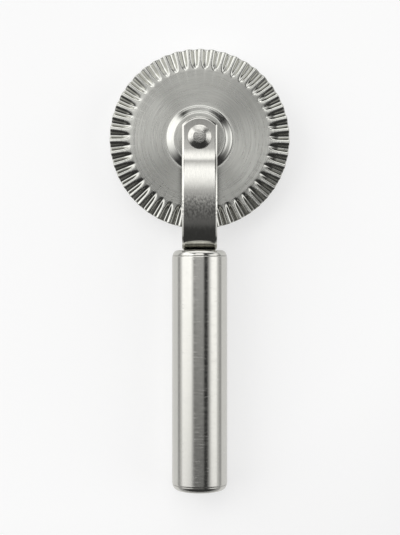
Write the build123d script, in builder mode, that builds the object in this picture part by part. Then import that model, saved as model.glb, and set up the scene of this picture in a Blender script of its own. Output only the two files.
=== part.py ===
from build123d import *
import math
import os

os.makedirs("parts", exist_ok=True)

# Fluted wheel
wheel_diameter = 65.0
wheel_sheet = 1.0
flute_count = 47
flute_turn = 1.0
flute_run = 8.0
flute_depth = 1.3
flute_floor = 1.4
flute_ridge = 0.4
flute_overrun = 0.25

# Hub, a pressed boss on the front of the disc and a turned collar on its back
boss_base_radius = 11.95
boss_top_radius = 9.5
boss_height = 1.2
boss_rounding = 1.5
collar_base_radius = 13.6
bush_radius = 3.9
bush_stand = 2.45

# Axle rivet and thrust washers
axle_radius = 2.5
axle_clearance = 0.05
rivet_head_radius = 4.25
rivet_flat_radius = 2.35
rivet_head_height = 2.2
rivet_edge_height = 1.0
washer_radius = 5.6
washer_thickness = 0.8
hub_play = 0.1

# Fork, one strip bent to a U
strip_width = 12.5
strip_thickness = 1.5
strip_chamfer = 0.4
tip_radius = 7.9
tip_reach = 7.35
joggle_start = 4.6
joggle_radius = 9.0
crest_drop = 19.0
fork_half_width = 10.0
arm_lean = 16.0
bend_radius = 6.0

# Screw from the bridge of the fork into the handle
screw_radius = 1.5
screw_reach = 12.0
screw_head_radius = 2.75
screw_head_height = 2.4
screw_socket_width = 2.5
screw_socket_depth = 1.3
lock_washer_radius = 2.8
lock_washer_thickness = 0.9
lock_washer_slit = 0.8
rim_clearance = 2.7

# Handle
handle_diameter = 20.0
tube_wall = 1.0
tube_length = 82.0
tube_edge = 0.25
cap_height = 2.2
cap_inset = 0.2
cap_shoulder = 2.0
cap_shoulder_steps = 2
spigot_length = 10.0

# Fits of pieces that are fixed to each other
press_gap = 0.02
screw_gap = 0.05

# Places along the tool, with the middle of its length at zero
wheel_radius = wheel_diameter / 2
handle_radius = handle_diameter / 2
tube_bore = handle_radius - tube_wall
screw_room = rim_clearance + screw_head_height + lock_washer_thickness
handle_drop = wheel_radius + screw_room + strip_thickness
overall_length = wheel_radius + handle_drop + tube_length + 2 * cap_height
axle_y = overall_length / 2 - wheel_radius
handle_top_y = axle_y - handle_drop
tube_top_y = handle_top_y - cap_height
tube_end_y = tube_top_y - tube_length

# Heights across the tool, counted from its middle plane
disc_face = (flute_depth + wheel_sheet) / 2
disc_back = disc_face - wheel_sheet
boss_face = disc_face + boss_height
bush_face = boss_face + bush_stand
washer_face = bush_face + hub_play
arm_inner_face = washer_face + washer_thickness
arm_outer_face = arm_inner_face + strip_thickness
rivet_face = arm_outer_face + rivet_head_height
middle_height = max(handle_radius, fork_half_width, rivet_face)

# Planes and axes that the pieces share
axle = Vector(0, axle_y, middle_height)
wheel_plane = Plane(axle)
wheel_axis = Axis(axle, (0, 0, 1))
wheel_profile = Plane(axle, x_dir=(1, 0, 0), z_dir=(0, -1, 0))
fork_profile = Plane(axle, x_dir=(0, 1, 0), z_dir=(1, 0, 0))
handle_profile = Plane((0, 0, middle_height))
handle_axis = Axis((0, 0, middle_height), (0, 1, 0))
bush_seat = bush_radius + press_gap
blank_radius = wheel_radius + wheel_sheet


def across(y):
    """Plane across the handle at one place along it, facing the wheel."""
    return Plane((0, y, middle_height), x_dir=(1, 0, 0), z_dir=(0, 1, 0))


def save(piece, name):
    """Label one finished piece and write its file."""
    piece.part.label = name
    export_step(piece.part, f"parts/{name}.step")


# The form tool of one flute: a V with a flat floor that runs straight down from the disc to the rim
flute_pitch = 360 / flute_count
flute_half_width = wheel_radius * math.sin(math.pi / flute_count) - flute_ridge / 2
flute_spread = (flute_half_width - flute_floor / 2) / flute_depth
flute_height = flute_depth + wheel_sheet
flute_half_top = flute_floor / 2 + flute_height * flute_spread
flute_fall = Vector(flute_run, 0, -flute_depth)
flute_start = Vector(wheel_radius - flute_run, 0, disc_face) - flute_fall * flute_overrun
with BuildPart() as flute_tool:
    with BuildSketch(Plane(flute_start, x_dir=(0, 1, 0), z_dir=(1, 0, 0))):
        with BuildLine():
            Polyline(
                (-flute_floor / 2, 0),
                (-flute_half_top, flute_height),
                (flute_half_top, flute_height),
                (flute_floor / 2, 0),
                close=True,
            )
        make_face()
    extrude(amount=flute_fall.length * (1 + 2 * flute_overrun), dir=flute_fall)

# The back of one flute: the same form one sheet lower, kept inside the rim
with BuildPart() as flute_back:
    with Locations((0, 0, -wheel_sheet)):
        add(flute_tool.part)
    with BuildSketch(Plane((0, 0, disc_back - flute_depth))):
        RegularPolygon(wheel_radius, flute_count, rotation=flute_pitch / 2)
    extrude(amount=flute_depth, mode=Mode.INTERSECT)

# Wheel disc: a turned sheet with the boss, a rim with one flat for each flute, and the flutes
with BuildPart() as wheel_disc:
    with BuildSketch(wheel_profile):
        with BuildLine():
            front = FilletPolyline(
                (bush_seat, boss_face),
                (boss_top_radius, boss_face),
                (boss_base_radius, disc_face),
                (blank_radius, disc_face),
                radius=boss_rounding,
            )
            back = Polyline(
                (bush_seat, boss_face - wheel_sheet),
                (boss_top_radius, boss_face - wheel_sheet),
                (boss_base_radius, disc_back),
                (blank_radius, disc_back),
            )
            Line(front @ 0, back @ 0)
            Line(front @ 1, back @ 1)
        make_face()
    revolve(axis=wheel_axis)
    with BuildSketch(wheel_plane):
        RegularPolygon(wheel_radius, flute_count, rotation=flute_turn + flute_pitch / 2)
    extrude(amount=boss_face, both=True, mode=Mode.INTERSECT)
    with Locations(axle):
        with PolarLocations(0, flute_count, start_angle=flute_turn):
            add(flute_back.part)
        with PolarLocations(0, flute_count, start_angle=flute_turn):
            add(flute_tool.part, mode=Mode.SUBTRACT)
save(wheel_disc, "wheel_disc")

# Rear hub collar: a turned cone that stands on the back of the disc round its boss
with BuildPart() as rear_hub_collar:
    with BuildSketch(wheel_profile):
        with BuildLine():
            Polyline(
                (bush_seat, -boss_face),
                (boss_top_radius, -boss_face),
                (collar_base_radius, disc_back),
                (bush_seat, disc_back),
                close=True,
            )
        make_face()
    revolve(axis=wheel_axis)
save(rear_hub_collar, "rear_hub_collar")

# Hub bush: a sleeve pressed through disc and collar, which runs on the axle
with BuildPart() as hub_bush:
    with BuildSketch(wheel_plane):
        Circle(bush_radius)
        Circle(axle_radius + axle_clearance, mode=Mode.SUBTRACT)
    extrude(amount=bush_face, both=True)
save(hub_bush, "hub_bush")

# Axle rivet: a plain shank with the same bevelled head on both arms
with BuildPart() as axle_rivet:
    with BuildSketch(wheel_profile):
        with BuildLine():
            Polyline(
                (0, 0),
                (axle_radius, 0),
                (axle_radius, arm_outer_face),
                (rivet_head_radius, arm_outer_face),
                (rivet_head_radius, arm_outer_face + rivet_edge_height),
                (rivet_flat_radius, rivet_face),
                (0, rivet_face),
                close=True,
            )
        make_face()
        mirror(about=Plane.XZ)
    revolve(axis=wheel_axis)
save(axle_rivet, "axle_rivet")

# Thrust washers: one on the inner face of each arm
for name, height in (("front_washer", washer_face), ("rear_washer", -arm_inner_face)):
    with BuildPart() as washer:
        with BuildSketch(wheel_plane.offset(height)):
            Circle(washer_radius)
            Circle(axle_radius + axle_clearance, mode=Mode.SUBTRACT)
        extrude(amount=washer_thickness)
    save(washer, name)

# Fork: the side view of the strip, through joggle, bow and bend to the bridge, then its width
strip_middle = arm_outer_face - strip_thickness / 2
bridge_middle = -handle_drop + strip_thickness / 2
joggle_length = crest_drop - joggle_start
joggle_angle = 2 * math.degrees(math.atan2(fork_half_width - arm_outer_face, joggle_length))
outer_radius = joggle_length / math.sin(math.radians(joggle_angle)) - joggle_radius
lean_share = math.sin(math.radians(arm_lean))
bow_radius = (-bridge_middle - crest_drop - bend_radius * (1 - lean_share)) / lean_share
gap_middle = axle - Vector(0, handle_drop / 2, 0)
with BuildPart() as fork:
    with BuildSketch(fork_profile):
        with BuildLine():
            flat = Line((tip_reach, strip_middle), (-joggle_start, strip_middle))
            joggle = JernArc(flat @ 1, flat % 1, joggle_radius, -joggle_angle)
            crest = JernArc(joggle @ 1, joggle % 1, outer_radius, joggle_angle)
            bow = JernArc(crest @ 1, crest % 1, bow_radius, arm_lean)
            bend = JernArc(bow @ 1, bow % 1, bend_radius, 90 - arm_lean)
            bridge = Line(bend @ 1, (bridge_middle, 0))
            mirror(about=Plane.XZ)
        trace(line_width=strip_thickness)
    extrude(amount=strip_width / 2, both=True)
    with BuildSketch(wheel_plane):
        with Locations((0, tip_reach - tip_radius)):
            Circle(tip_radius)
        with Locations((0, -handle_drop / 2)):
            Rectangle(strip_width, handle_drop)
    extrude(amount=handle_drop, both=True, mode=Mode.INTERSECT)
    side_faces = fork.faces().filter_by(Axis.X)
    tip_faces = fork.faces().filter_by(lambda face: face.center().Y > axle_y + tip_reach / 2)
    outer_faces = fork.faces().filter_by(lambda face: face.normal_at().dot(face.center() - gap_middle) > 0)
    chamfer((side_faces + tip_faces).edges() & (outer_faces - side_faces - tip_faces).edges(), strip_chamfer)
    with BuildSketch(wheel_plane):
        Circle(axle_radius + press_gap)
    extrude(amount=arm_outer_face, both=True, mode=Mode.SUBTRACT)
    with BuildSketch(across(handle_top_y)):
        Circle(screw_radius + screw_gap)
    extrude(amount=strip_thickness, mode=Mode.SUBTRACT)
save(fork, "fork")

# Seat of the lock washer, which bears on the two bends where it is wider than the flat of the bridge
inner_bend = bend_radius - strip_thickness / 2
overhang = max(lock_washer_radius - bridge.length, 0)
washer_seat_y = handle_top_y + strip_thickness + inner_bend - math.sqrt(inner_bend**2 - overhang**2)
screw_seat_y = washer_seat_y + lock_washer_thickness

# Lock washer: a ring with a slit, under the head of the screw
with BuildPart() as lock_washer:
    with BuildSketch(across(washer_seat_y)):
        Circle(lock_washer_radius)
        Circle(screw_radius + screw_gap, mode=Mode.SUBTRACT)
        with Locations((lock_washer_radius / 2, 0)):
            Rectangle(lock_washer_radius, lock_washer_slit, mode=Mode.SUBTRACT)
    extrude(amount=lock_washer_thickness)
save(lock_washer, "lock_washer")

# Fork screw: a cylinder head with a hexagon socket, and a shank that reaches into the top cap
with BuildPart() as fork_screw:
    with BuildSketch(across(screw_seat_y)):
        Circle(screw_head_radius)
    extrude(amount=screw_head_height)
    with BuildSketch(across(screw_seat_y)):
        Circle(screw_radius)
    extrude(amount=-screw_reach)
    with BuildSketch(across(screw_seat_y + screw_head_height)):
        RegularPolygon(screw_socket_width / 2, 6, major_radius=False)
    extrude(amount=-screw_socket_depth, mode=Mode.SUBTRACT)
save(fork_screw, "fork_screw")

# Handle tube: a plain tube with broken outer edges
with BuildPart() as handle_tube:
    with BuildSketch(across(tube_end_y)):
        Circle(handle_radius)
        Circle(tube_bore, mode=Mode.SUBTRACT)
    extrude(amount=tube_length)
    outer_edges = handle_tube.edges().filter_by(GeomType.CIRCLE).group_by(SortBy.RADIUS)[-1]
    chamfer(outer_edges, length=tube_edge)
save(handle_tube, "handle_tube")

# Caps: turned plugs with a shoulder rounded in short cones, seated on the ends of the tube
cap_radius = handle_radius - cap_inset
spigot_radius = tube_bore - press_gap
for name, seat_y, out, bore in (
    ("top_cap", tube_top_y, 1, screw_radius + screw_gap),
    ("end_cap", tube_end_y, -1, 0),
):
    with BuildPart() as cap:
        with BuildSketch(handle_profile):
            outline = [(bore, -spigot_length), (bore, cap_height)]
            for step in range(cap_shoulder_steps + 1):
                angle = math.pi / 2 * step / cap_shoulder_steps
                radius = cap_radius - cap_shoulder * (1 - math.sin(angle))
                outline.append((radius, cap_height - cap_shoulder * (1 - math.cos(angle))))
            outline += [(cap_radius, 0), (spigot_radius, 0), (spigot_radius, -spigot_length)]
            with BuildLine():
                Polyline(*[(radius, seat_y + out * height) for radius, height in outline], close=True)
            make_face()
        revolve(axis=handle_axis)
    save(cap, name)
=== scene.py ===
import math

import bmesh
import bpy
import numpy as np
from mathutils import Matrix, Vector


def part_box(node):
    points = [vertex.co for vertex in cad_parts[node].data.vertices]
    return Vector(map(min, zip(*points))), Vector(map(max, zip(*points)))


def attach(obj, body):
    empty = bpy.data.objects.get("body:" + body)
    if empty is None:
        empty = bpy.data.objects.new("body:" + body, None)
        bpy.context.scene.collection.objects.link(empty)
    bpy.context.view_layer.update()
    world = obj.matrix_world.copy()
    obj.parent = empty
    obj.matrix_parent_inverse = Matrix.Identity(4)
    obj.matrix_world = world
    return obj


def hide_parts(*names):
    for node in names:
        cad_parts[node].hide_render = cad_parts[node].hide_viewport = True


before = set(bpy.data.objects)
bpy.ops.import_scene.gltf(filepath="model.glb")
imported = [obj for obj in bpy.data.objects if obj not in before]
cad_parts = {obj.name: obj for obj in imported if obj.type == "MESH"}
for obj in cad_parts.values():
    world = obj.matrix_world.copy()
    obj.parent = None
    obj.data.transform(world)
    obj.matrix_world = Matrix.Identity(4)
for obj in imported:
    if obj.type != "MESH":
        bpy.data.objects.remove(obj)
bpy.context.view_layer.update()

MM = 0.001
MERGE = 1e-6
SMOOTH_ANGLE = math.radians(35)


def span(node):
    """Lowest and highest corner of a node of the frame, in millimetres."""
    return np.array(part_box(node)) / MM


# Places that the frame gives, in millimetres; the wheel and the fork are drawn round the axle
axle = span("hub_bush").mean(axis=0)
disc_low, disc_high = span("wheel_disc") - axle
collar_low, collar_high = span("rear_hub_collar") - axle
bush_low, bush_high = span("hub_bush") - axle
rivet_high = span("axle_rivet")[1] - axle
fork_low, fork_high = span("fork") - axle
tube_low, tube_high = span("handle_tube")
top_cap_high = span("top_cap")[1]
end_cap_low = span("end_cap")[0]
lock_low, lock_high = span("lock_washer")
screw_low, screw_high = span("fork_screw")

# The solid's rim is a polygon, so the round wheel takes its least reach and stays inside the box
wheel_radius = np.abs([disc_low[:2], disc_high[:2]]).min()
disc_back = collar_high[2]
boss_face = disc_high[2]
bush_radius = bush_high[0]
rivet_face = rivet_high[2]
rivet_radius = rivet_high[0]
tip_reach = fork_high[1]
strip_width = fork_high[0] - fork_low[0]
fork_half_width = fork_high[2]
handle_drop = -fork_low[1]
handle_radius = tube_high[0]

# Fits and edges, in millimetres as all sizes that a box doesn't show
RUNNING_GAP = 0.05
PRESS_GAP = 0.02
EDGE_BREAK = 0.12
ARC_GUARD = 0.02

# Wheel; each step of the boss is a corner with its radius, its drop from the boss's face and its rounding
SHEET = 1.0
BOSS_STEPS = ((9.34, 0, 1.0), (10.07, 0.405, 0.3), (11.17, 0.827, 0.3), (11.84, 1.2, 1.0))
DISC_FLAT = 6.0
RIM_ROUNDING = 0.3
FLUTES = 47
FLUTE_TURN = math.radians(1.43)
FLUTE_SWAYS = 4
FLUTE_SWAY = math.radians(0.5)
FLUTE_SWAY_START = math.radians(22)
FLUTE_RUN = 7.6
FLUTE_LEAD = 0.2
FLUTE_TAIL = 0.4
FLUTE_DEPTH = 1.47
FLUTE_TAPER = 0.28
FLUTE_RAMP = 4.0
FLUTE_RAMP_POWER = 2.3
FLUTE_DISH = 0.2
FLUTE_DISH_POWER = 1.5
FLUTE_EDGE = 0.1
FLUTE_TIP_EDGE = 0.38
FLUTE_CREST_POWER = 1.1
disc_face = disc_back + SHEET
flute_start = wheel_radius - FLUTE_RUN

# Collar and rivet
COLLAR_TOP_RADIUS = 9.15
COLLAR_ROUNDING = 1.0
AXLE_RADIUS = 2.5
RIVET_HEAD = 2.2
RIVET_EDGE = 1.0
RIVET_EDGE_ROUNDING = 0.3
RIVET_FLAT_RADIUS = 2.35
RIVET_FLAT_ROUNDING = 0.6
RIVET_CROWN = 0.08
RIVET_CROWN_SHARE = 0.8
RIVET_SLANT = math.radians(4)

# Fork; a straight run counts as an arc whose bend is too slight to show
STRIP = 1.5
STRIP_CHAMFER_WIDTH = 0.65
STRIP_CHAMFER_DROP = 0.4
STRIP_CHAMFER_ROUNDING = 1.1
STRIP_SIDE_ROUNDING = 0.08
STRIP_FACE_INSET = 0.6
TIP_INSET = 1.3
TIP_RADIUS = 7.9
TIP_CURL = math.radians(5)
JOGGLE_START = 4.2
JOGGLE_RADIUS = 13.0
CREST_DROP = 19.0
ARM_LEAN = math.radians(16)
BEND_RADIUS = 6.0
STRAIGHT_BEND = 1e-9
AXLE_HOLE_REACH = 20.0

# Screw and its washer
SCREW_RADIUS = 1.5
SCREW_HEAD_ROUNDING = 0.3
SCREW_POINT = 0.6
SOCKET_WIDTH = 2.5
SOCKET_DEPTH = 1.3
SOCKET_RIM = 0.35
SOCKET_BEVEL_SHARE = 1.1
SOCKET_BEVEL_DEPTH = 0.15
THREAD_PITCH = 0.5
THREAD_DEPTH = 0.25
THREAD_START = 0.1
LOCK_WASHER_SLIT = 0.8

# Handle
TUBE_WALL = 1.0
TUBE_EDGE = 0.45
CAP_INSET = 0.2
CAP_SHOULDER = 2.15
CAP_EDGE = 0.25
SPIGOT = 10.0
SPIGOT_ROUNDING = 0.4

# Fineness of the grids: sides round a turned piece, and rows and columns of points on a surface
FLUTE_COLUMNS = 22
FLUTE_ROWS = 30
FLUTE_BACK_ROWS = 10
COLLAR_SIDES = 256
RING_SIDES = 160
RIVET_SIDES = 192
RIVET_CROWN_ROWS = 6
STRIP_FACE_COLUMNS = 25
TIP_ROWS = 27
ARM_FLAT_ROWS = 8
ARM_BEND_ROWS = (18, 18, 16, 24)
BRIDGE_ROWS = 4
HOLE_SIDES = 64
SCREW_SIDES = 120
THREAD_ROWS = 136
LOCK_WASHER_ROWS = 97
HANDLE_SIDES = 320


# Shapes
def rounded(corners, steps=8):
    """Outline through corners (x, y, rounding). An arc that touches both sides stands for each rounded
    corner, swung evenly from one touching point to the other, with one more point on each side close by
    so that the flat faces beside it stay flat in the light."""
    outline = []
    places = np.array([corner[:2] for corner in corners], float)
    for k, corner in enumerate(corners):
        here = places[k]
        rounding = corner[2] if len(corner) > 2 else 0
        if not rounding:
            outline.append(here[None])
            continue
        back = places[k - 1] - here
        ahead = places[(k + 1) % len(places)] - here
        back /= np.linalg.norm(back)
        ahead /= np.linalg.norm(ahead)
        half = math.acos(back @ ahead) / 2
        reach = rounding / math.tan(half)
        middle = (back + ahead) / np.linalg.norm(back + ahead)
        centre = here + middle * rounding / math.sin(half)
        swing = math.pi - 2 * half
        share = np.linspace(0, 1, steps)[:, None]
        start = here + back * reach - centre
        end = here + ahead * reach - centre
        arc = np.sin((1 - share) * swing) * start + np.sin(share * swing) * end
        arc = centre + arc / math.sin(swing)
        guard = reach + ARC_GUARD
        outline += [here + back[None] * guard, arc, here + ahead[None] * guard]
    return np.vstack(outline)


def run(start, end, count):
    """Corners without rounding, evenly spaced on the line from start to end."""
    return np.linspace(start, end, count).tolist()


def square_section(inner, outer, low, high, steps=8):
    """Outline of a square section from an inner to an outer radius, with its four edges broken."""
    corners = [(inner, low), (outer, low), (outer, high), (inner, high)]
    return rounded([(*corner, EDGE_BREAK) for corner in corners], steps)


def full_turn(sides):
    """Angles evenly spaced round one turn."""
    return np.linspace(0, 2 * np.pi, sides, endpoint=False)


def swept(radius, height, angle):
    """Points at a radius, a height and an angle about the axis Z."""
    return np.stack([radius * np.cos(angle), radius * np.sin(angle), height + 0 * angle], axis=-1)


def around(profile, sides):
    """Surface of revolution: every (radius, height) of the profile goes round the axis Z at each angle."""
    radius, height = profile.T[:, :, None]
    return swept(radius, height, full_turn(sides))


def on_handle(points):
    """Points drawn round the axis Z, laid along the handle: their height becomes the place along it."""
    return points[..., [0, 2, 1]] + [0, 0, axle[2]]


def skin(name, points, loop=True):
    """Mesh over a grid of points in millimetres, rows by columns. Four neighbours make a face, the last
    column meets the first, and in a loop the last row meets the first. Points that fall together at poles
    and ends are merged, and the faces are turned outwards."""
    rows, columns = points.shape[:2]
    index = np.arange(rows * columns).reshape(rows, columns)
    index = np.hstack([index, index[:, :1]])
    if loop:
        index = np.vstack([index, index[:1]])
    faces = np.stack([index[:-1, :-1], index[1:, :-1], index[1:, 1:], index[:-1, 1:]], axis=-1)
    mesh = bpy.data.meshes.new(name)
    mesh.from_pydata((points.reshape(-1, 3) * MM).tolist(), [], faces.reshape(-1, 4).tolist())
    shape = bmesh.new()
    shape.from_mesh(mesh)
    bmesh.ops.remove_doubles(shape, verts=shape.verts, dist=MERGE)
    bmesh.ops.recalc_face_normals(shape, faces=shape.faces)
    shape.to_mesh(mesh)
    shape.free()
    mesh.shade_smooth()
    mesh.set_sharp_from_angle(angle=SMOOTH_ANGLE)
    return mesh


def place(mesh, stands_for, body, material):
    """Put one finished mesh into the scene, in the place of the solid that it stands for."""
    piece = bpy.data.objects.new(mesh.name, mesh)
    bpy.context.scene.collection.objects.link(piece)
    mesh.materials.append(material)
    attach(piece, body)
    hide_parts(stands_for)


def fluted_wheel():
    """The disc with its boss, turned from a profile, with a wave pressed into the rim. From ridge to ridge
    the wave is a cosine of the share of the way to the valley, raised to a power that sets how broad the
    ridges are, and its depth grows evenly to the rim. Each valley comes up to the disc on a ramp at its
    inner end, a power curve. What would stand above the disc there is left flat, with a brink that a
    hyperbola rounds, most of all half way up the ramp. The rim dishes down by a power of the way out, the
    spacing of the flutes sways with a slow cosine, and the rim is a chord from each ridge to the next."""
    seat = bush_radius + PRESS_GAP
    lead = flute_start - FLUTE_LEAD
    tail = wheel_radius - FLUTE_TAIL
    profile = rounded(
        [
            (seat, boss_face, EDGE_BREAK),
            *((step, boss_face - drop, rounding) for step, drop, rounding in BOSS_STEPS),
            (flute_start - DISC_FLAT, disc_face),
            *run((lead, disc_face), (tail, disc_face), FLUTE_ROWS),
            (wheel_radius, disc_face, RIM_ROUNDING),
            (wheel_radius, disc_back, RIM_ROUNDING),
            *run((tail, disc_back), (lead, disc_back), FLUTE_BACK_ROWS),
            (BOSS_STEPS[-1][0], disc_back),
            (BOSS_STEPS[0][0], boss_face - SHEET),
            (seat, boss_face - SHEET),
        ],
        steps=5,
    )
    points = around(profile, FLUTES * FLUTE_COLUMNS)
    radius = profile[:, :1]
    turn = full_turn(FLUTES * FLUTE_COLUMNS)
    sunk = 1 - (1 - np.clip((radius - flute_start) / FLUTE_RAMP, 0, 1)) ** FLUTE_RAMP_POWER
    depth = FLUTE_DEPTH * (1 - FLUTE_TAPER * np.clip((wheel_radius - radius) / FLUTE_RUN, 0, 1))
    sway = FLUTE_SWAY * np.cos(FLUTE_SWAYS * (turn - FLUTE_SWAY_START))
    valley = 1 - np.abs(((turn - FLUTE_TURN - sway) * FLUTES / np.pi + 1) % 2 - 1)
    wave = (1 + np.cos(np.pi * valley**FLUTE_CREST_POWER)) / 2
    drop = depth * (sunk - wave)
    half_way = 4 * sunk * (1 - sunk)
    brink = FLUTE_EDGE * sunk + FLUTE_TIP_EDGE * half_way
    points[..., 2] -= (drop + np.hypot(drop, brink)) / 2
    points[..., 2] -= FLUTE_DISH * np.clip((radius - flute_start) / FLUTE_RUN, 0, 1) ** FLUTE_DISH_POWER
    off_flat = (1 - valley) * np.pi / FLUTES
    chord = math.cos(math.pi / FLUTES) / np.cos(off_flat)
    points[..., :2] *= (1 - sunk * (1 - chord))[..., None]
    return skin("fluted_wheel", points + axle)


def rear_collar():
    """A turned cone on the back of the disc, with the same bore as the boss."""
    seat = bush_radius + PRESS_GAP
    profile = rounded(
        [
            (seat, collar_high[2]),
            (collar_high[0], collar_high[2]),
            (COLLAR_TOP_RADIUS, collar_low[2], COLLAR_ROUNDING),
            (seat, collar_low[2], EDGE_BREAK),
        ]
    )
    return skin("rear_collar", around(profile, COLLAR_SIDES) + axle)


def ring(name, inner, outer, low, high):
    """A flat turned ring with its four edges broken."""
    return skin(name, around(square_section(inner, outer, low, high), RING_SIDES) + axle)


def rivet():
    """A plain shank with a bevelled head at each end; the flat of a head is a shallow dome, a parabola. The
    hammer left both flats a little out of square: they rise with the place along the tool, by the full
    slant on the flat and less and less over the bevel."""
    arm_face = rivet_face - RIVET_HEAD
    flat = np.linspace(0, RIVET_FLAT_RADIUS * RIVET_CROWN_SHARE, RIVET_CROWN_ROWS)
    crown = rivet_face - RIVET_CROWN * (flat / flat[-1]) ** 2
    head = rounded(
        [
            (flat[-1], crown[-1]),
            (RIVET_FLAT_RADIUS, crown[-1] - RIVET_CROWN / 2, RIVET_FLAT_ROUNDING),
            (rivet_radius, arm_face + RIVET_EDGE, RIVET_EDGE_ROUNDING),
            (rivet_radius, arm_face),
            (AXLE_RADIUS, arm_face),
            (AXLE_RADIUS, 0),
        ]
    )
    half = np.vstack([np.column_stack([flat[:-1], crown[:-1]]), head])
    profile = np.vstack([half, half[-2::-1] * [1, -1]])
    points = around(profile, RIVET_SIDES)
    radius = np.hypot(points[..., 0], points[..., 1])
    level = np.interp(radius, [RIVET_FLAT_RADIUS, rivet_radius], [1, 0])
    level *= np.abs(points[..., 2]) > arm_face
    points[..., 2] += points[..., 1] * level * math.tan(RIVET_SLANT)
    return skin("rivet", points + axle, loop=False)


def fork_path(length):
    """Place and tilt of the strip's mid-line at lengths from the tip of the front arm: runs that bend, one
    after the other, down to the straight bridge. On each, the tilt changes evenly with the length. With
    them come the lengths at which the runs start, and half of the bridge's length."""
    middle = rivet_face - RIVET_HEAD - STRIP / 2
    bridge = handle_drop - STRIP / 2
    joggle_run = CREST_DROP - JOGGLE_START
    joggle = 2 * math.atan2(fork_half_width - STRIP / 2 - middle, joggle_run)
    crest_radius = joggle_run / math.sin(joggle) - JOGGLE_RADIUS
    lean = math.sin(ARM_LEAN)
    bow_radius = (bridge - CREST_DROP - BEND_RADIUS * (1 - lean)) / lean
    flat_run = tip_reach + JOGGLE_START
    turns = np.array([TIP_CURL, joggle, -joggle, -ARM_LEAN, ARM_LEAN - math.pi / 2, 0])
    radii = np.array([flat_run / TIP_CURL, JOGGLE_RADIUS, crest_radius, bow_radius, BEND_RADIUS])
    runs = np.append(np.abs(turns[:-1]) * radii, 2 * fork_half_width)
    bends = turns / runs + STRAIGHT_BEND
    starts = np.concatenate([[0], np.cumsum(runs)[:-1]])
    tilts = np.concatenate([[0], np.cumsum(turns)[:-1]]) - TIP_CURL
    steps_y = -(np.sin(tilts + bends * runs) - np.sin(tilts)) / bends
    steps_z = -(np.cos(tilts + bends * runs) - np.cos(tilts)) / bends
    starts_y = tip_reach + np.concatenate([[0], np.cumsum(steps_y)[:-1]])
    starts_z = middle - steps_z[0] + np.concatenate([[0], np.cumsum(steps_z)[:-1]])
    k = np.clip(np.searchsorted(starts, length, side="right") - 1, 0, len(runs) - 1)
    bend = bends[k]
    tilt = tilts[k] + bend * (length - starts[k])
    y = starts_y[k] - (np.sin(tilt) - np.sin(tilts[k])) / bend
    z = starts_z[k] - (np.cos(tilt) - np.cos(tilts[k])) / bend
    return y, z, tilt, starts, starts_z[-1]


def fork_strip():
    """The strip's section carried along the path of the fork. Its face has a soft chamfer on each side. Its
    back is flat with quarter circles at the sides, and has the face's places across, so that the rows of a
    tip meet. At each tip the strip ends on an arc: a row's heights there go no further than the section's
    height at the same inset from its side, and the last row closes on the middle of the thickness. The rear
    arm is the front one mirrored."""
    half = strip_width / 2
    brow = half - STRIP_CHAMFER_WIDTH
    cheek = STRIP / 2 - STRIP_CHAMFER_DROP
    level = brow - STRIP_FACE_INSET
    face = rounded(
        [
            (half, 0),
            (half, cheek, STRIP_SIDE_ROUNDING),
            (brow, STRIP / 2, STRIP_CHAMFER_ROUNDING),
            *run((level, STRIP / 2), (-level, STRIP / 2), STRIP_FACE_COLUMNS),
            (-brow, STRIP / 2, STRIP_CHAMFER_ROUNDING),
            (-half, cheek, STRIP_SIDE_ROUNDING),
            (-half, 0),
        ],
        steps=6,
    )
    shy = np.clip(1 - (half - np.abs(face[:, 0])) / EDGE_BREAK, 0, 1)
    under = EDGE_BREAK * (1 - np.sqrt(1 - shy**2)) - STRIP / 2
    back = np.column_stack([face[:, 0], under])[::-1]
    across, height = np.vstack([face, back]).T
    inset = np.concatenate([[0], np.linspace(0, TIP_INSET, TIP_ROWS)])[:, None]
    edge = half - np.abs(across)
    limits = []
    for part in (height < 0, height > 0):
        part &= across >= 0
        order = np.argsort(edge[part])
        limits.append(np.interp(inset, edge[part][order], height[part][order]))
    heights = np.clip(height, *limits)
    heights[0] = 0
    slant = np.sqrt(1 - (across / TIP_RADIUS) ** 2)
    tip = TIP_RADIUS * (1 - slant) + inset / slant
    _, _, _, starts, bridge_half = fork_path(np.zeros(1))
    share = np.linspace(0, 1, ARM_FLAT_ROWS + 1)[1:, None]
    flat = tip[-1] + share * (starts[1] - tip[-1])
    ends = [*starts[1:], starts[-1] + bridge_half]
    rows = (*ARM_BEND_ROWS, BRIDGE_ROWS)
    stations = [np.linspace(ends[k], ends[k + 1], count + 1)[1:] for k, count in enumerate(rows)]
    rest = np.concatenate(stations)[:, None] + 0 * across
    length = np.vstack([tip, flat, rest])
    heights = np.vstack([heights, np.tile(height, (len(length) - len(heights), 1))])
    y, z, tilt, _, _ = fork_path(length)
    x = np.tile(across, (len(length), 1))
    points = np.stack([x, y + heights * np.sin(tilt), z + heights * np.cos(tilt)], axis=-1)
    mirrored = points[-2::-1] * [1, 1, -1]
    return skin("fork_strip", np.vstack([points, mirrored]) + axle, loop=False)


def drilled(mesh, holes):
    """The mesh with round holes cut through it; each hole is a grid of points, closed at both ends."""
    solid = bpy.data.objects.new("drilling", mesh)
    bpy.context.scene.collection.objects.link(solid)
    cutters = []
    for points in holes:
        cutter = bpy.data.objects.new("drill", skin("drill", points, loop=False))
        bpy.context.scene.collection.objects.link(cutter)
        cut = solid.modifiers.new("hole", "BOOLEAN")
        cut.operation = "DIFFERENCE"
        cut.object = cutter
        cutters.append(cutter)
    bpy.context.view_layer.update()
    graph = bpy.context.evaluated_depsgraph_get()
    done = bpy.data.meshes.new_from_object(solid.evaluated_get(graph))
    name = mesh.name
    for used in (solid, *cutters):
        data = used.data
        bpy.data.objects.remove(used)
        bpy.data.meshes.remove(data)
    done.name = name
    return done


def drill(radius, reach):
    """Points of a plain closed cylinder about Z."""
    return around(np.array([(0, -reach), (radius, -reach), (radius, reach), (0, reach)]), HOLE_SIDES)


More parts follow.
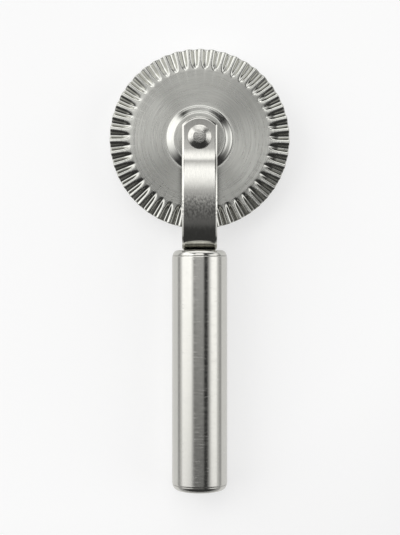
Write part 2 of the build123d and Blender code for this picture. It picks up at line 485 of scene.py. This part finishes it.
def spring_washer():
    """A ring of rounded section that stops short of a slit with parallel sides; both ends close flat."""
    inner = SCREW_RADIUS + RUNNING_GAP
    radius, height = square_section(inner, lock_high[0], lock_low[1], lock_high[1], steps=5).T
    gap = np.arcsin(LOCK_WASHER_SLIT / 2 / radius)
    share = np.concatenate([[0], np.linspace(0, 1, LOCK_WASHER_ROWS), [1]])[:, None]
    points = swept(radius, height, gap + share * (2 * np.pi - 2 * gap))
    points[[0, -1]] = points[[0, -1]].mean(axis=1, keepdims=True)
    return skin("spring_washer", on_handle(points), loop=False)


def socket_screw():
    """A turned screw: a cylinder head with a hexagon socket, whose wall stands at the hexagon's radius at
    each angle, and a shank whose radius falls and rises along a helix as a thread does."""
    top, seat, low = screw_high[1], lock_high[1], screw_low[1]
    head = rounded(
        [
            (SOCKET_WIDTH / 2 + SOCKET_RIM, top),
            (screw_high[0], top, SCREW_HEAD_ROUNDING),
            (screw_high[0], seat, EDGE_BREAK),
            (SCREW_RADIUS, seat),
        ]
    )
    thread = np.linspace(seat - THREAD_START, low + SCREW_POINT, THREAD_ROWS)
    shank = np.column_stack([np.full_like(thread, SCREW_RADIUS), thread])
    end = np.array([(SCREW_RADIUS - THREAD_DEPTH, low), (0, low)])
    floor = top - SOCKET_DEPTH
    socket = np.array([(0, floor), (1, floor), (1, top - SOCKET_BEVEL_DEPTH), (SOCKET_BEVEL_SHARE, top)])
    points = around(np.vstack([socket, head, shank, end]), SCREW_SIDES)
    angle = full_turn(SCREW_SIDES)
    hexagon = SOCKET_WIDTH / 2 / np.cos(angle % (np.pi / 3) - np.pi / 6)
    points[: len(socket), :, :2] *= hexagon[:, None]
    first = len(socket) + len(head)
    turns = thread[:, None] / THREAD_PITCH - angle / (2 * np.pi)
    groove = 1 - THREAD_DEPTH / SCREW_RADIUS * np.abs((turns % 1) * 2 - 1)
    points[first : first + len(thread), :, :2] *= groove[..., None]
    return skin("socket_screw", on_handle(points), loop=False)


def grip_tube():
    """A plain tube with a small rounding on its outer edges."""
    bore = handle_radius - TUBE_WALL
    low, high = tube_low[1], tube_high[1]
    profile = rounded(
        [(bore, low), (handle_radius, low, TUBE_EDGE), (handle_radius, high, TUBE_EDGE), (bore, high)]
    )
    return skin("grip_tube", on_handle(around(profile, HANDLE_SIDES)))


def cap(name, seat, face, bore):
    """A turned plug: a spigot in the tube, and a head with a full round shoulder. A bore of no radius
    leaves it solid."""
    end = seat - math.copysign(SPIGOT, face - seat)
    outer = handle_radius - CAP_INSET
    spigot = handle_radius - TUBE_WALL - PRESS_GAP
    profile = rounded(
        [
            (bore, face),
            (outer, face, CAP_SHOULDER),
            (outer, seat, CAP_EDGE),
            (spigot, seat),
            (spigot, end, SPIGOT_ROUNDING),
            (bore, end),
        ],
        steps=14,
    )
    return skin(name, on_handle(around(profile, HANDLE_SIDES)), loop=bore > 0)


# Materials: axes, the noise of the grain and of the slow cloud, and the place from which hoops are counted
UP = np.array([0.0, 0.0, 1.0])
ALONG = np.array([0.0, 1.0, 0.0])
GRAIN_DETAIL = 3.0
GRAIN_ROUGHNESS = 0.65
GRAIN_RANGE = (0.3, 0.7)
CLOUD = 14.0
CLOUD_DETAIL = 2.0
HOOPS_BEHIND = 30.0
handle_back = np.array([0.0, tube_low[1] - HOOPS_BEHIND, axle[2]])

# Rings that the press has left: stops of (radius, share) on the disc, and (depth, share) in the flutes
BOSS_WEAR = ((0, 1.0), (8.6, 1.0), (9.2, 0.4), (12.1, 0.4), (12.8, 1.0), (wheel_radius, 1.0))
FLUTE_WEAR = ((0.3, 0.3), (0.08, 1.0))

# Painted reflection on the arms, specks that lighten and darken their colour: their size across and along,
# where they lie along the tool, and how light and dark they are
REFLECTION_SPECK_SIZE = (0.6, 0.9)
REFLECTION_SPECK_DETAIL = 2.0
REFLECTION_SPECK_RANGE = (0.35, 0.65)
REFLECTION_SPECK_MIDDLE = 22.0
REFLECTION_SPECK_REACH = (2.0, 5.5)
REFLECTION_SPECK_LIGHT = (1.38, 0.66)


def linear(code):
    """An sRGB hex colour as linear red, green, blue and alpha, by the two parts of the sRGB curve."""
    shade = np.array([int(code[k : k + 2], 16) for k in (0, 2, 4)]) / 255
    straight = np.where(shade <= 0.04045, shade / 12.92, ((shade + 0.055) / 1.055) ** 2.4)
    return (*straight.tolist(), 1.0)


def add(tree, kind, inputs=None, out=0, **settings):
    """Add one node with its settings; each input is a value or the output that feeds it. What comes back is
    the output that out names, or the node itself where out is None."""
    made = tree.nodes.new(kind)
    for name, value in settings.items():
        setattr(made, name, value)
    for name, value in (inputs or {}).items():
        if isinstance(value, bpy.types.NodeSocket):
            tree.links.new(value, made.inputs[name])
        else:
            made.inputs[name].default_value = value
    return made if out is None else made.outputs[out]


def turned(tree, spot, centre, axis, spacing, breaks=1.0):
    """Rings that a lathe leaves round an axis. Their noise changes fast from ring to ring, on the radius
    and along the axis, and slowly round it, faster with more breaks. With the grain come the way across
    the rings, which is the way from the centre, and the radius."""
    centred = add(tree, "ShaderNodeVectorMath", {0: spot, 1: centre * MM}, operation="SUBTRACT")
    flat = add(tree, "ShaderNodeVectorMath", {0: centred, 1: 1 - axis}, operation="MULTIPLY")
    rise = add(tree, "ShaderNodeVectorMath", {0: centred, 1: axis}, out="Value", operation="DOT_PRODUCT")
    radius = add(tree, "ShaderNodeVectorMath", {0: flat}, out="Value", operation="LENGTH")
    outward = add(tree, "ShaderNodeVectorMath", {0: flat}, operation="NORMALIZE")
    sweep = add(tree, "ShaderNodeMath", {0: radius, 1: rise}, operation="ADD")
    rings = add(tree, "ShaderNodeMath", {0: sweep, 1: 1 / (spacing * MM)}, operation="MULTIPLY")
    lanes = add(tree, "ShaderNodeVectorMath", {0: axis, "Scale": rings}, operation="SCALE")
    around_axis = {0: outward, 1: (breaks,) * 3, 2: lanes}
    grain = add(tree, "ShaderNodeVectorMath", around_axis, operation="MULTIPLY_ADD")
    return grain, centred, radius


def brushed(tree, spot, width, length):
    """Straight grain along the strip: noise that is narrow across it and long in the other directions. With
    the grain comes the way across it; there is no radius."""
    stretch = 1 / (np.array([width, length, length]) * MM)
    grain = add(tree, "ShaderNodeVectorMath", {0: spot, 1: stretch}, operation="MULTIPLY")
    return grain, (1, 0, 0), None


def worn_wheel(tree, centred, radius):
    """Share of the lathe's rings that the press has left on the wheel: less on the steps of the boss, told
    by radius, and less in the flutes, told by the depth below the face of the disc."""
    reach = BOSS_WEAR[-1][0]
    way_out = add(tree, "ShaderNodeMapRange", {"Value": radius, "From Max": reach * MM})
    ramp = add(tree, "ShaderNodeValToRGB", {0: way_out}, out=None)
    for stop, _ in BOSS_WEAR[1:-1]:
        ramp.color_ramp.elements.new(stop / reach)
    for element, (_, share) in zip(ramp.color_ramp.elements, BOSS_WEAR):
        element.color = (share, share, share, 1)
    (deep, low), (shallow, high) = FLUTE_WEAR
    flute = add(
        tree,
        "ShaderNodeMapRange",
        {
            "Value": add(tree, "ShaderNodeSeparateXYZ", {0: centred}, out="Z"),
            "From Min": (disc_face - deep) * MM,
            "From Max": (disc_face - shallow) * MM,
            "To Min": low,
            "To Max": high,
        },
    )
    rim = add(tree, "ShaderNodeMath", {0: radius, 1: flute_start * MM}, operation="GREATER_THAN")
    return add(tree, "ShaderNodeMix", {0: rim, 2: ramp.outputs[0], 3: flute})


def speckled_reflection(tree, spot):
    """Painted reflection on the strip, a factor on its colour: specks of noise, bright where it is low and
    dark where it is high, which fade out with the distance along the tool from the middle of the patch."""
    grain, _, _ = brushed(tree, spot, *REFLECTION_SPECK_SIZE)
    painted_speck = add(
        tree,
        "ShaderNodeMapRange",
        {
            "Value": add(tree, "ShaderNodeTexNoise", {"Vector": grain, "Scale": 1.0, "Detail": REFLECTION_SPECK_DETAIL}),
            "From Min": REFLECTION_SPECK_RANGE[0],
            "From Max": REFLECTION_SPECK_RANGE[1],
            "To Min": REFLECTION_SPECK_LIGHT[0],
            "To Max": REFLECTION_SPECK_LIGHT[1],
        },
    )
    along = add(tree, "ShaderNodeSeparateXYZ", {0: spot}, out="Y")
    off = add(tree, "ShaderNodeMath", {0: along, 1: REFLECTION_SPECK_MIDDLE * MM}, operation="SUBTRACT")
    patch = add(
        tree,
        "ShaderNodeMapRange",
        {
            "Value": add(tree, "ShaderNodeMath", {0: off}, operation="ABSOLUTE"),
            "From Min": REFLECTION_SPECK_REACH[0] * MM,
            "From Max": REFLECTION_SPECK_REACH[1] * MM,
            "To Min": 1.0,
            "To Max": 0.0,
        },
        interpolation_type="SMOOTHSTEP",
    )
    return add(tree, "ShaderNodeMix", {0: patch, 2: 1.0, 3: painted_speck})


def steel(name, pattern, tones, gloss, groove, spread, streak=0.04, worn=None, painted_specks=None):
    """Steel with a grain, whose pattern gives its coordinates, the way across its lines and the radius. The
    noise on it changes the roughness from line to line between the two of gloss, darkens lines by up to
    streak and cuts them up to groove deep, in millimetres. The highlight is spread along the way across, as
    grooves scatter light. A slow cloud mixes the two tones. Worn gives the share of the grain that is left
    at each place, and painted_specks a factor on the colour that paints a speckled reflection."""
    material = bpy.data.materials.new(name)
    material.use_nodes = True
    tree = material.node_tree
    tree.nodes.clear()
    spot = add(tree, "ShaderNodeTexCoord", out="Object")
    grain, across, radius = pattern(tree, spot)
    fine = {"Vector": grain, "Scale": 1.0, "Detail": GRAIN_DETAIL, "Roughness": GRAIN_ROUGHNESS}
    lines = add(tree, "ShaderNodeTexNoise", fine)
    slow = {"Vector": spot, "Scale": 1 / (CLOUD * MM), "Detail": CLOUD_DETAIL}
    cloud = add(tree, "ShaderNodeTexNoise", slow)
    mixed = {0: cloud, 6: linear(tones[0]), 7: linear(tones[1])}
    tone = add(tree, "ShaderNodeMix", mixed, out=2, data_type="RGBA")
    by_line = {"Value": lines, "From Min": GRAIN_RANGE[0], "From Max": GRAIN_RANGE[1]}
    between = {**by_line, "To Min": gloss[0], "To Max": gloss[1]}
    rough = add(tree, "ShaderNodeMapRange", between)
    darkest = 1 - streak
    height = lines
    if worn:
        share = worn(tree, across, radius)
        rough = add(tree, "ShaderNodeMath", {0: rough, 1: share}, operation="MULTIPLY")
        height = add(tree, "ShaderNodeMath", {0: lines, 1: share}, operation="MULTIPLY")
        left = {0: share, 1: -streak, 2: 1.0}
        darkest = add(tree, "ShaderNodeMath", left, operation="MULTIPLY_ADD")
    shade = add(tree, "ShaderNodeMapRange", {**by_line, "To Min": darkest, "To Max": 1.0})
    # Painted reflection: the specks lighten and darken the colour
    if painted_specks:
        shade = add(tree, "ShaderNodeMath", {0: shade, 1: painted_specks(tree, spot)}, operation="MULTIPLY")
    tone = add(tree, "ShaderNodeVectorMath", {0: tone, "Scale": shade}, operation="SCALE")
    cut = {"Strength": 1.0, "Distance": groove * MM, "Height": height}
    tangent = add(
        tree,
        "ShaderNodeVectorTransform",
        {"Vector": across},
        vector_type="VECTOR",
        convert_from="OBJECT",
        convert_to="WORLD",
    )
    shader = add(
        tree,
        "ShaderNodeBsdfPrincipled",
        {
            "Base Color": tone,
            "Metallic": 1.0,
            "Roughness": rough,
            "Anisotropic": spread,
            "Normal": add(tree, "ShaderNodeBump", cut),
            "Tangent": tangent,
        },
    )
    add(tree, "ShaderNodeOutputMaterial", {"Surface": shader}, out=None)
    return material


# Spacings and sizes of grain are in millimetres. Real tool marks are about 0.1 apart, too fine to show in
# the render, so they are drawn several times as coarse

# Stainless sheet, faced on a lathe: dull rings that smear the light outwards, bright where it was pressed
wheel_steel = steel(
    "turned_stainless_sheet",
    lambda tree, spot: turned(tree, spot, axle, UP, spacing=0.9),
    tones=("cdcdc8", "c4c4be"),
    gloss=(0.23, 0.35),
    groove=0.02,
    spread=1.0,
    streak=0.34,
    worn=worn_wheel,
)
# Stainless strip, brushed along its length and bent: bright between the grain lines, with a patch of painted
# reflection in specks
fork_steel = steel(
    "brushed_stainless_strip",
    lambda tree, spot: brushed(tree, spot, width=0.35, length=2.0),
    tones=("d2d1cc", "cbcac4"),
    gloss=(0.12, 0.2),
    groove=0.005,
    spread=0.6,
    streak=0.15,
    painted_specks=speckled_reflection,
)
# Stainless tube, ground round and round on a belt: hoops of changing gloss under crisp long stripes of light
handle_steel = steel(
    "belt_ground_stainless_tube",
    lambda tree, spot: turned(tree, spot, handle_back, ALONG, spacing=0.6, breaks=3.0),
    tones=("cdccc7", "c6c5bf"),
    gloss=(0.055, 0.285),
    groove=0.003,
    spread=0.5,
)
# Turned stainless plug, polished: the same hoops, worn almost smooth
cap_steel = steel(
    "polished_stainless_plug",
    lambda tree, spot: turned(tree, spot, handle_back, ALONG, spacing=0.5),
    tones=("cdccc7", "c6c5bf"),
    gloss=(0.12, 0.18),
    groove=0.002,
    spread=0.5,
)
# Stainless rivet, headed cold in a die: a bright bevel and a slightly dull, uneven flat
rivet_steel = steel(
    "headed_stainless_rivet",
    lambda tree, spot: turned(tree, spot, axle, UP, spacing=0.6),
    tones=("d4d3ce", "cac9c3"),
    gloss=(0.16, 0.26),
    groove=0.12,
    spread=0.4,
    streak=0.2,
)
# Turned stainless screw and its washer: satin hoops round the length of the tool
screw_steel = steel(
    "turned_stainless_screw",
    lambda tree, spot: turned(tree, spot, handle_back, ALONG, spacing=0.4),
    tones=("c6c6c2", "bababa"),
    gloss=(0.22, 0.32),
    groove=0.004,
    spread=0.5,
)
# Turned steel bar of the small inner pieces: dull, even rings
bush_steel = steel(
    "turned_steel_bar",
    lambda tree, spot: turned(tree, spot, axle, UP, spacing=0.5),
    tones=("c2c2be", "b6b6b2"),
    gloss=(0.25, 0.35),
    groove=0.004,
    spread=0.5,
)

# Pieces of the wheel
place(fluted_wheel(), "wheel_disc", "wheel", wheel_steel)
place(rear_collar(), "rear_hub_collar", "wheel", wheel_steel)
sleeve = ring("bush_sleeve", AXLE_RADIUS + RUNNING_GAP, bush_radius, bush_low[2], bush_high[2])
place(sleeve, "hub_bush", "wheel", bush_steel)

# Pieces of the fork
place(rivet(), "axle_rivet", "handle", rivet_steel)
for name, node in (("washer_front", "front_washer"), ("washer_rear", "rear_washer")):
    low, high = span(node) - axle
    washer = ring(name, AXLE_RADIUS + RUNNING_GAP, high[0], low[2], high[2])
    place(washer, node, "handle", bush_steel)
axle_hole = drill(AXLE_RADIUS + PRESS_GAP, AXLE_HOLE_REACH) + axle
screw_hole = on_handle(drill(SCREW_RADIUS + RUNNING_GAP, STRIP) + [0, 0, fork_low[1] + axle[1]])
place(drilled(fork_strip(), [axle_hole, screw_hole]), "fork", "handle", fork_steel)
place(spring_washer(), "lock_washer", "handle", screw_steel)
place(socket_screw(), "fork_screw", "handle", screw_steel)

# Pieces of the handle
place(grip_tube(), "handle_tube", "handle", handle_steel)
top_plug = cap("top_plug", tube_high[1], top_cap_high[1], SCREW_RADIUS + RUNNING_GAP)
place(top_plug, "top_cap", "handle", cap_steel)
place(cap("end_plug", tube_low[1], end_cap_low[1], 0), "end_cap", "handle", cap_steel)

# Floor, in metres: a sheet of paper on a table, the tones of a painted pool of light on it near and far, and
# how much it is lifted to white
FLOOR_HALF = 4.0
FLOOR_POOL_CENTRE = (-0.06, 0.08, 0)
FLOOR_POOL_FADE = (0.17, 0.53)
FLOOR_POOL_TONES = ("f4f4f4", "a8a8a8")
FLOOR_MATT = "bcbcbc"
FLOOR_LIFT = 0.66
PAPER_HALF = (0.073, 0.099)
PAPER_EDGE = 1.25
TABLE_LIFT = 0.2


def white_paper():
    """Matt paper that takes the shadow. Where it is seen, straight or in metal, it also glows towards
    white. The glow's tone fades with the distance from a centre, a painted pool of light, and its strength
    falls off outside the paper, told by the larger of the place's two shares of the paper's half sizes."""
    material = bpy.data.materials.new("white_paper")
    material.use_nodes = True
    tree = material.node_tree
    tree.nodes.clear()
    path = add(tree, "ShaderNodeLightPath", out=None).outputs
    seen = path["Is Camera Ray"]
    for ray in ("Is Glossy Ray", "Is Transmission Ray"):
        seen = add(tree, "ShaderNodeMath", {0: seen, 1: path[ray]}, operation="MAXIMUM")
    lift = add(tree, "ShaderNodeMath", {0: seen, 1: FLOOR_LIFT}, operation="MULTIPLY")
    spot = add(tree, "ShaderNodeTexCoord", out="Object")
    reach = add(tree, "ShaderNodeVectorMath", {0: spot, 1: FLOOR_POOL_CENTRE}, out="Value", operation="DISTANCE")
    faded = {"Value": reach, "From Min": FLOOR_POOL_FADE[0], "From Max": FLOOR_POOL_FADE[1]}
    # Painted pool of light: the glow is pale near the centre and dims far from it
    near, far = FLOOR_POOL_TONES
    mixed = {0: add(tree, "ShaderNodeMapRange", faded), 6: linear(near), 7: linear(far)}
    tone = add(tree, "ShaderNodeMix", mixed, out=2, data_type="RGBA")
    halves = add(tree, "ShaderNodeVectorMath", {0: spot, 1: (*PAPER_HALF, 1)}, operation="DIVIDE")
    halves = add(tree, "ShaderNodeVectorMath", {0: halves}, operation="ABSOLUTE")
    shares = add(tree, "ShaderNodeSeparateXYZ", {0: halves}, out=None).outputs
    share = add(tree, "ShaderNodeMath", {0: shares["X"], 1: shares["Y"]}, operation="MAXIMUM")
    soft = {"Value": share, "From Min": 1.0, "From Max": PAPER_EDGE, "To Min": 1.0, "To Max": TABLE_LIFT}
    edge = add(tree, "ShaderNodeMapRange", soft, interpolation_type="SMOOTHSTEP")
    lift = add(tree, "ShaderNodeMath", {0: lift, 1: edge}, operation="MULTIPLY")
    matt = add(tree, "ShaderNodeBsdfDiffuse", {"Color": linear(FLOOR_MATT)})
    glow = add(tree, "ShaderNodeEmission", {"Color": tone, "Strength": lift})
    both = add(tree, "ShaderNodeAddShader", {0: matt, 1: glow})
    add(tree, "ShaderNodeOutputMaterial", {"Surface": both}, out=None)
    return material


floor_mesh = bpy.data.meshes.new("floor")
floor_corners = np.array([(-1, -1, 0), (1, -1, 0), (1, 1, 0), (-1, 1, 0)]) * FLOOR_HALF
floor_mesh.from_pydata(floor_corners.tolist(), [], [(0, 1, 2, 3)])
floor_mesh.materials.append(white_paper())
floor = bpy.data.objects.new("floor", floor_mesh)
bpy.context.scene.collection.objects.link(floor)

# Studio: soft panels of light round the table. A panel has an azimuth and an elevation in degrees, each
# with the half size and the soft edge before its middle and after it, and a strength
PANELS = (
    (166, (38, 18), (31, 50), 33, (25, 20), (29, 20), 1.8),
    (3, (22, 44), (26, 34), 24, (15, 22), (24, 26), 1.65),
    (90, (30, 34), (30, 34), 14, (18, 20), (17, 14), 1.3),
    (90, (70, 30), (60, 30), 4, (8, 8), (10, 12), 0.9),
)
# Panels above the table, told in the same way by their angles from straight up, across and along the tool
OVERHEAD = (
    (-1, (19, 12), (19, 10), 26, (17, 46), (20, 24), 1.7),
    (-4, (22, 8), (22, 8), 0, (23, 4), (20, 20), 0.11),
    (-33, (10, 14), (10, 14), 18, (12, 16), (12, 16), 0.6),
)
# The room's own light, and a paler band along the horizon with its half size and soft edge
ROOM = 0.05
HORIZON = 0.45
HORIZON_BAND = (6, 6)
LAMP_WHITE = "ffffff"


def window(tree, angle, centre, before, after):
    """One near the centre of an angle and nought beyond, with a half size and a soft edge on each side, in
    degrees; the two sides are multiplied."""
    off = add(tree, "ShaderNodeMath", {0: angle, 1: math.radians(centre)}, operation="SUBTRACT")
    off = add(tree, "ShaderNodeMath", {0: off, 1: math.pi, 2: -math.pi}, operation="WRAP")
    back = add(tree, "ShaderNodeMath", {0: off, 1: -1.0}, operation="MULTIPLY")
    sides = []
    for way, (half, edge) in ((back, before), (off, after)):
        soft = {
            "Value": way,
            "From Min": math.radians(half - edge / 2),
            "From Max": math.radians(half + edge / 2),
            "To Min": 1.0,
            "To Max": 0.0,
        }
        sides.append(add(tree, "ShaderNodeMapRange", soft, interpolation_type="SMOOTHSTEP"))
    return add(tree, "ShaderNodeMath", {0: sides[0], 1: sides[1]}, operation="MULTIPLY")


def studio():
    """World whose brightness is the sum of the room, the band along the horizon and the panels. A panel is
    the product of two windows, on the ray's azimuth and elevation or on its angles from straight up."""
    world = bpy.data.worlds.new("studio")
    world.use_nodes = True
    tree = world.node_tree
    tree.nodes.clear()
    ray = add(tree, "ShaderNodeTexCoord", out="Generated")
    heading = add(tree, "ShaderNodeSeparateXYZ", {0: ray}, out=None).outputs
    azimuth = add(tree, "ShaderNodeMath", {0: heading["Y"], 1: heading["X"]}, operation="ARCTAN2")
    elevation = add(tree, "ShaderNodeMath", {0: heading["Z"]}, operation="ARCSINE")
    across = add(tree, "ShaderNodeMath", {0: heading["X"], 1: heading["Z"]}, operation="ARCTAN2")
    along = add(tree, "ShaderNodeMath", {0: heading["Y"], 1: heading["Z"]}, operation="ARCTAN2")
    shapes = [(window(tree, elevation, 0, HORIZON_BAND, HORIZON_BAND), HORIZON)]
    for panels, first, second in ((PANELS, azimuth, elevation), (OVERHEAD, across, along)):
        for side, right, left, height, below, above, strength in panels:
            width = window(tree, first, side, right, left)
            rise = window(tree, second, height, below, above)
            panel = add(tree, "ShaderNodeMath", {0: width, 1: rise}, operation="MULTIPLY")
            shapes.append((panel, strength))
    light = ROOM
    for shape, strength in shapes:
        more = {0: shape, 1: strength, 2: light}
        light = add(tree, "ShaderNodeMath", more, operation="MULTIPLY_ADD")
    glow = add(tree, "ShaderNodeBackground", {"Color": linear(LAMP_WHITE), "Strength": light})
    add(tree, "ShaderNodeOutputWorld", {"Surface": glow}, out=None)
    return world


bpy.context.scene.world = studio()

# Camera, straight above the tool, in millimetres
CAMERA_HEIGHT = 430.0
FRAME_HEIGHT = 192.9
FRAME_CENTRE = (0.14, 0.6)
SENSOR = 36.0
camera_data = bpy.data.cameras.new("camera")
camera_data.sensor_width = SENSOR
camera_data.lens = SENSOR * CAMERA_HEIGHT / FRAME_HEIGHT
camera = bpy.data.objects.new("camera", camera_data)
camera.location = np.array([*FRAME_CENTRE, axle[2] + CAMERA_HEIGHT]) * MM
bpy.context.scene.collection.objects.link(camera)
bpy.context.scene.camera = camera
bpy.context.scene.view_settings.view_transform = "Standard"
